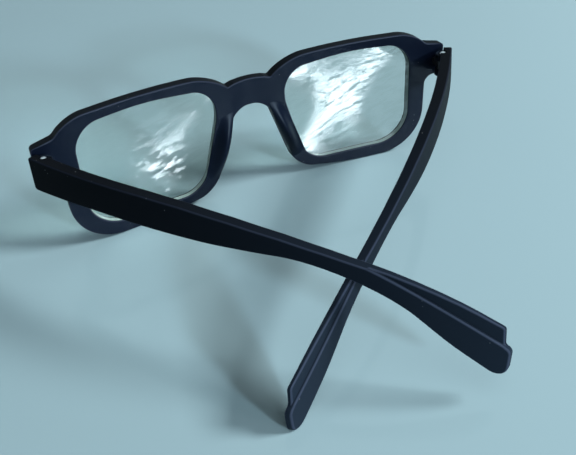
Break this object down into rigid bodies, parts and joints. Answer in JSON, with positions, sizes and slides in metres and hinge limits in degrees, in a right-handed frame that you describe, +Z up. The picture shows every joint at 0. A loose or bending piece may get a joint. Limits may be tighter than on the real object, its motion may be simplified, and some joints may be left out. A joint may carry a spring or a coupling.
{
  "type": "blue light glasses",
  "caption": "Dark acetate spectacles with rounded square light-filter lenses, keyhole bridge and hinged paddle-tipped temples, resting half folded.",
  "frame": {"origin": "on the table under the middle of the resting object's box", "axes": "+Z up from the table, +X towards the wearer's left end piece, +Y from the front towards the temple tips, so the front faces -Y"},
  "size_m": [0.1488, 0.1192, 0.046],
  "materials": {
    "frame_front": "satin navy-black acetate with softly polished edges",
    "temple": "satin navy-black acetate with softly polished edges",
    "lens": "clear, faintly green light-filter lens with a coated surface",
    "steel": "plain drawn or stamped steel",
    "screw_steel": "bright turned steel with a straight slot",
    "washer": "plain dark nylon"
  },
  "bodies": {
    "front": {"front_frame": "frame_front", "left_lens": "lens", "right_lens": "lens", "left_nose_pad": "frame_front", "right_nose_pad": "frame_front", "left_hinge_leaf": "steel", "right_hinge_leaf": "steel", "left_upper_rivet": "steel", "left_lower_rivet": "steel", "right_upper_rivet": "steel", "right_lower_rivet": "steel"},
    "left_temple": {"left_temple": "temple", "left_core_wire": "steel", "left_hinge_screw": "screw_steel", "left_upper_washer": "washer", "left_lower_washer": "washer"},
    "right_temple": {"right_temple": "temple", "right_core_wire": "steel", "right_hinge_screw": "screw_steel", "right_upper_washer": "washer", "right_lower_washer": "washer"}
  },
  "joints": [
    {"name": "left_temple_hinge", "type": "hinge", "parent": "front", "child": "left_temple", "pos_m": [0.06976, -0.0448, 0.03495], "axis": [0, -0.1241, 0.9923], "range_deg": [-33, 38]},
    {"name": "right_temple_hinge", "type": "hinge", "parent": "front", "child": "right_temple", "pos_m": [-0.06924, -0.0448, 0.03495], "axis": [0, 0.1241, -0.9923], "range_deg": [-33, 38]}
  ],
  "couplings": [
    {"joint": "right_temple_hinge", "follows": "left_temple_hinge", "ratio": 1}
  ]
}
